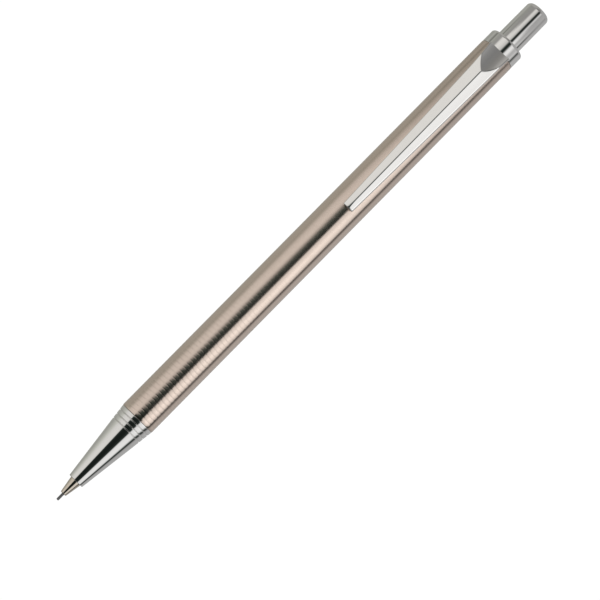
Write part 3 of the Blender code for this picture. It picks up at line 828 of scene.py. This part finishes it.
def clip():
    """The folded blade, lofted through its cross-sections."""
    flat_share = []
    for column in range(CLIP_COLUMNS + 1):
        flat_share.append(math.sin(math.radians(90.0 * (2.0 * column / CLIP_COLUMNS - 1.0))))
    shape = bmesh.new()
    rings = []
    for station in clip_stations():
        half = half_width(station)
        flat = half - RIGHT_ROUND
        across_list = [flat * share for share in flat_share]
        for step in range(1, CLIP_ROUND_STEPS + 1):
            across_list.append(flat + RIGHT_ROUND * math.sin(math.radians(15.0 * step)))
        across_list = [-across for across in reversed(across_list[CLIP_COLUMNS + 1:])] + across_list
        edge, middle, channel = clip_under(station)
        section = [(across, clip_top(station, across)) for across in across_list]
        section += [(half, min(edge, section[-1][1] - 0.02)), (channel, middle)]
        section += [(-channel, middle), (-half, min(edge, section[0][1] - 0.02))]
        ring = []
        for across, up in section:
            ring.append(shape.verts.new(placed(station, across - middle_of(station), up)))
        rings.append(ring)
    for first, second in zip(rings, rings[1:]):
        stitch(shape, first, second, len(first))
    shape.faces.new(rings[0])
    shape.faces.new(rings[-1])
    add_piece("clip_blade", finish_mesh("clip_blade", shape, 50.0), clip_chrome, "clip", "clip")


# ---------------------------------------------------------------- studio

# How bright the studio looks in a mirror, by the angle round the pencil's axis in degrees.
# 0 is towards the camera and positive angles turn to the side away from +Y.
# Softboxes hang on both sides, with the dark camera stand between them, over a grey floor.
BEHIND_POINT = [(-180, 0.12), (180, 0.12)]
OVER_POINT = [
    (-180, 0.37), (-130, 0.31), (-112, 0.41), (-98, 0.48), (-85, 0.57), (-70, 0.68), (-50, 0.74),
    (-31, 0.71), (-27, 0.58), (-23.5, 0.03), (-12, 0.012), (10, 0.012), (26, 0.03), (30, 0.45),
    (33, 0.78), (45, 0.83), (58, 0.86), (70, 0.80), (76, 0.46), (79.5, 0.08), (88, 0.02),
    (94, 0.10), (100, 0.34), (112, 0.40), (135, 0.36), (180, 0.37),
]
OVER_BARREL = [
    (-180, 0.40), (-105, 0.43), (-90, 0.40), (-80, 0.47), (-70, 0.65), (-58, 0.75), (-42, 0.79),
    (-32, 0.75), (-24, 0.56), (-16, 0.26), (-9, 0.09), (0, 0.05), (14, 0.03), (19, 0.04),
    (23, 0.42), (26, 0.88), (38, 0.98), (50, 1.24), (58, 1.24), (66, 1.10), (74, 0.97),
    (80, 0.76), (86, 0.12), (92, 0.10), (98, 0.28), (105, 0.50), (115, 0.53), (127, 0.50),
    (145, 0.48), (180, 0.44),
]
OVER_BUTTON = [
    (-180, 0.36), (-130, 0.34), (-110, 0.42), (-100, 0.30), (-94, 0.18), (-88, 0.26), (-82, 0.40),
    (-76, 0.34), (-58, 0.31), (-51, 0.38), (-46, 0.66), (-38, 0.78), (-22, 0.74), (-5, 0.56),
    (-1, 0.30), (3, 0.06), (7, 0.02), (16, 0.02), (21, 0.22), (26, 0.70), (30, 0.84),
    (40, 0.86), (48, 0.64), (56, 0.46), (68, 0.50), (75, 0.62), (80, 0.52), (84, 0.34),
    (89, 0.06), (95, 0.12), (108, 0.46), (180, 0.44),
]
OVER_END = [
    (-180, 0.36), (-110, 0.40), (-100, 0.33), (-90, 0.30), (-60, 0.30), (-45, 0.29), (-38, 0.38),
    (-32, 0.62), (-25, 0.72), (-14, 0.64), (-6, 0.50), (-1, 0.20), (3, 0.03), (13, 0.02),
    (18, 0.10), (23, 0.52), (28, 0.66), (35, 0.46), (42, 0.38), (56, 0.40), (76, 0.42),
    (84, 0.36), (92, 0.30), (100, 0.36), (115, 0.42), (180, 0.42),
]
PAST_BUTTON = [
    (-180, 0.36), (-60, 0.40), (-50, 0.33), (-40, 0.26), (-20, 0.22), (6, 0.21), (18, 0.25),
    (30, 0.34), (40, 0.40), (180, 0.38),
]
# bands, and where along the pencil's direction they begin and are full
ZONES = [
    (OVER_POINT, -0.8, -0.5),
    (OVER_BARREL, -0.2, 0.06),
    (OVER_BUTTON, 0.17, 0.21),
    (OVER_END, 0.219, 0.24),
    (PAST_BUTTON, 0.42, 0.52),
]
PEAK = 1.25  # the brightest level, which the ramps store as 1
BACKDROP_GLOW = 1.03
SURROUND_R = 3.0  # metres
FLOOR_HALF = 1.5
FLOOR_Z = -0.0002  # just clear of the barrel


def band_ramp(tree, bands, angle_share):
    """A colour ramp over the full turn, one stop for each (angle, level)."""
    ramp = tree.nodes.new("ShaderNodeValToRGB")
    stops = ramp.color_ramp.elements
    while len(stops) > 1:
        stops.remove(stops[-1])
    for index, (angle, level) in enumerate(bands):
        place = (angle + 180.0) / 360.0
        stop = stops[0] if index == 0 else stops.new(place)
        stop.position = place
        stop.color = (*(level / PEAK * tint for tint in tint_of(angle, level)), 1.0)
    tree.links.new(angle_share, ramp.inputs["Fac"])
    return ramp.outputs["Color"]


def tint_of(angle, level):
    """The left softbox is a little warmer than the right one, and the dark stand is greenish."""
    if level < 0.1:
        return (0.85, 1.1, 1.0)
    if angle < -75:
        return (1.0, 1.01, 0.93)
    return (1.0, 1.0, 1.0) if angle > 0 else (1.0, 0.985, 0.955)


def world_math(tree, operation, *values):
    """A maths node on plain numbers or other nodes' outputs."""
    node = tree.nodes.new("ShaderNodeMath")
    node.operation = operation
    for socket, value in zip(node.inputs, values):
        if isinstance(value, float):
            socket.default_value = value
        else:
            tree.links.new(value, socket)
    return node.outputs["Value"]


def smooth_share(tree, value, low, high):
    """0 below low and 1 above high, with a smooth step between."""
    node = tree.nodes.new("ShaderNodeMapRange")
    node.interpolation_type = "SMOOTHSTEP"
    node.inputs["From Min"].default_value = low
    node.inputs["From Max"].default_value = high
    tree.links.new(value, node.inputs["Value"])
    return node.outputs["Result"]


def mixed(tree, share, first, second):
    """A colour between two, by share."""
    node = tree.nodes.new("ShaderNodeMix")
    node.data_type = "RGBA"
    tree.links.new(share, node.inputs[0])
    tree.links.new(first, node.inputs[6])
    tree.links.new(second, node.inputs[7])
    return node.outputs[2]


def studio(camera_turn):
    """The studio's light, as bands round the pencil's axis that change along it."""
    world = bpy.data.worlds.new("studio")
    bpy.context.scene.world = world
    world.use_nodes = True
    tree = world.node_tree
    direction = tree.nodes.new("ShaderNodeTexCoord")
    parts = tree.nodes.new("ShaderNodeSeparateXYZ")
    tree.links.new(direction.outputs["Generated"], parts.inputs["Vector"])
    along, across, up = parts.outputs
    away = world_math(tree, "MULTIPLY", across, -1.0)
    angle = world_math(tree, "ARCTAN2", away, up)
    turned_angle = world_math(tree, "SUBTRACT", angle, camera_turn)
    wrapped = world_math(tree, "WRAP", turned_angle, math.pi, -math.pi)
    angle_share = world_math(tree, "ADD", world_math(tree, "MULTIPLY", wrapped, 0.5 / math.pi), 0.5)
    color = band_ramp(tree, BEHIND_POINT, angle_share)
    for bands, start, full in ZONES:
        share = smooth_share(tree, along, start, full)
        color = mixed(tree, share, color, band_ramp(tree, bands, angle_share))
    background = tree.nodes["Background"]
    background.inputs["Strength"].default_value = PEAK
    tree.links.new(color, background.inputs["Color"])


def glowing(name):
    """A white that shines by its own light, so nothing shades it."""
    material = bpy.data.materials.new(name)
    material.use_nodes = True
    tree = material.node_tree
    tree.nodes.remove(tree.nodes["Principled BSDF"])
    light = tree.nodes.new("ShaderNodeEmission")
    light.inputs["Color"].default_value = (1.0, 1.0, 1.0, 1.0)
    light.inputs["Strength"].default_value = BACKDROP_GLOW
    tree.links.new(light.outputs["Emission"], tree.nodes["Material Output"].inputs["Surface"])
    return material


def stage_piece(name, shape, height):
    """A backdrop piece that the camera sees and the pencil's metal does not reflect."""
    mesh = bpy.data.meshes.new(name)
    shape.to_mesh(mesh)
    shape.free()
    mesh.materials.append(glowing("white_" + name))
    piece = bpy.data.objects.new(name, mesh)
    piece.location.z = height
    bpy.context.scene.collection.objects.link(piece)
    for kind in ("diffuse", "glossy", "transmission", "volume_scatter", "shadow"):
        setattr(piece, "visible_" + kind, False)
    return piece


def backdrop():
    """A plain white floor and a white surround."""
    ball = bmesh.new()
    bmesh.ops.create_uvsphere(ball, u_segments=48, v_segments=24, radius=SURROUND_R)
    sheet = bmesh.new()
    bmesh.ops.create_grid(sheet, x_segments=1, y_segments=1, size=FLOOR_HALF)
    surround = stage_piece("surround", ball, 0.0)
    floor = stage_piece("floor", sheet, FLOOR_Z)


# ---------------------------------------------------------------- camera

CAMERA_DISTANCE = 0.538  # from the pencil's middle
LENS = 162.0  # mm on a 36 mm sensor
ROLL = math.radians(45.443)  # the pencil's slant in the camera's view
TILT = math.radians(5.7)  # the camera leans towards the pencil's point
AIM_SIDE = -4.636  # the pencil's middle from the view's centre, to the right, in mm
AIM_UP = 4.518  # and upwards
MIDDLE_STATION = 61.86  # the place on the axis that those two are for


def camera():
    """Makes the camera and returns the angle round the axis that it looks from."""
    along = Vector((math.cos(ROLL) * math.cos(TILT), math.sin(ROLL) * math.cos(TILT), -math.sin(TILT)))
    facing = Vector((math.cos(ROLL) * math.sin(TILT), math.sin(ROLL) * math.sin(TILT), math.cos(TILT)))
    side_way = facing.cross(along)
    # rows are the world's axes as the camera sees them, so columns are the camera's in the world
    turn = Matrix((along, side_way, facing))
    middle = placed(MIDDLE_STATION, 0.0, 0.0)
    seen_at = Vector((AIM_SIDE * MM, AIM_UP * MM, -CAMERA_DISTANCE))
    data = bpy.data.cameras.new("camera")
    data.lens = LENS
    data.sensor_width = 36.0
    data.clip_start = 0.01
    data.clip_end = 20.0
    eye = bpy.data.objects.new("camera", data)
    eye.matrix_world = Matrix.Translation(middle - turn @ seen_at) @ turn.to_4x4()
    bpy.context.scene.collection.objects.link(eye)
    bpy.context.scene.camera = eye
    return math.atan2(-eye.matrix_world.translation.y, eye.matrix_world.translation.z - AXIS_HEIGHT)


# ---------------------------------------------------------------- the whole pencil

bpy.context.scene.view_settings.view_transform = "Standard"
camera_turn = camera()
studio(camera_turn)
backdrop()
nose_cone()
tip_cone()
lead_retainer()
leads()
barrel()
front_bush()
clutch_ring()
mechanism_housing()
tube_connector()
lead_tube()
spring()
kept_shapes()
top_bush()
collar()
push_button()
eraser()
clip()
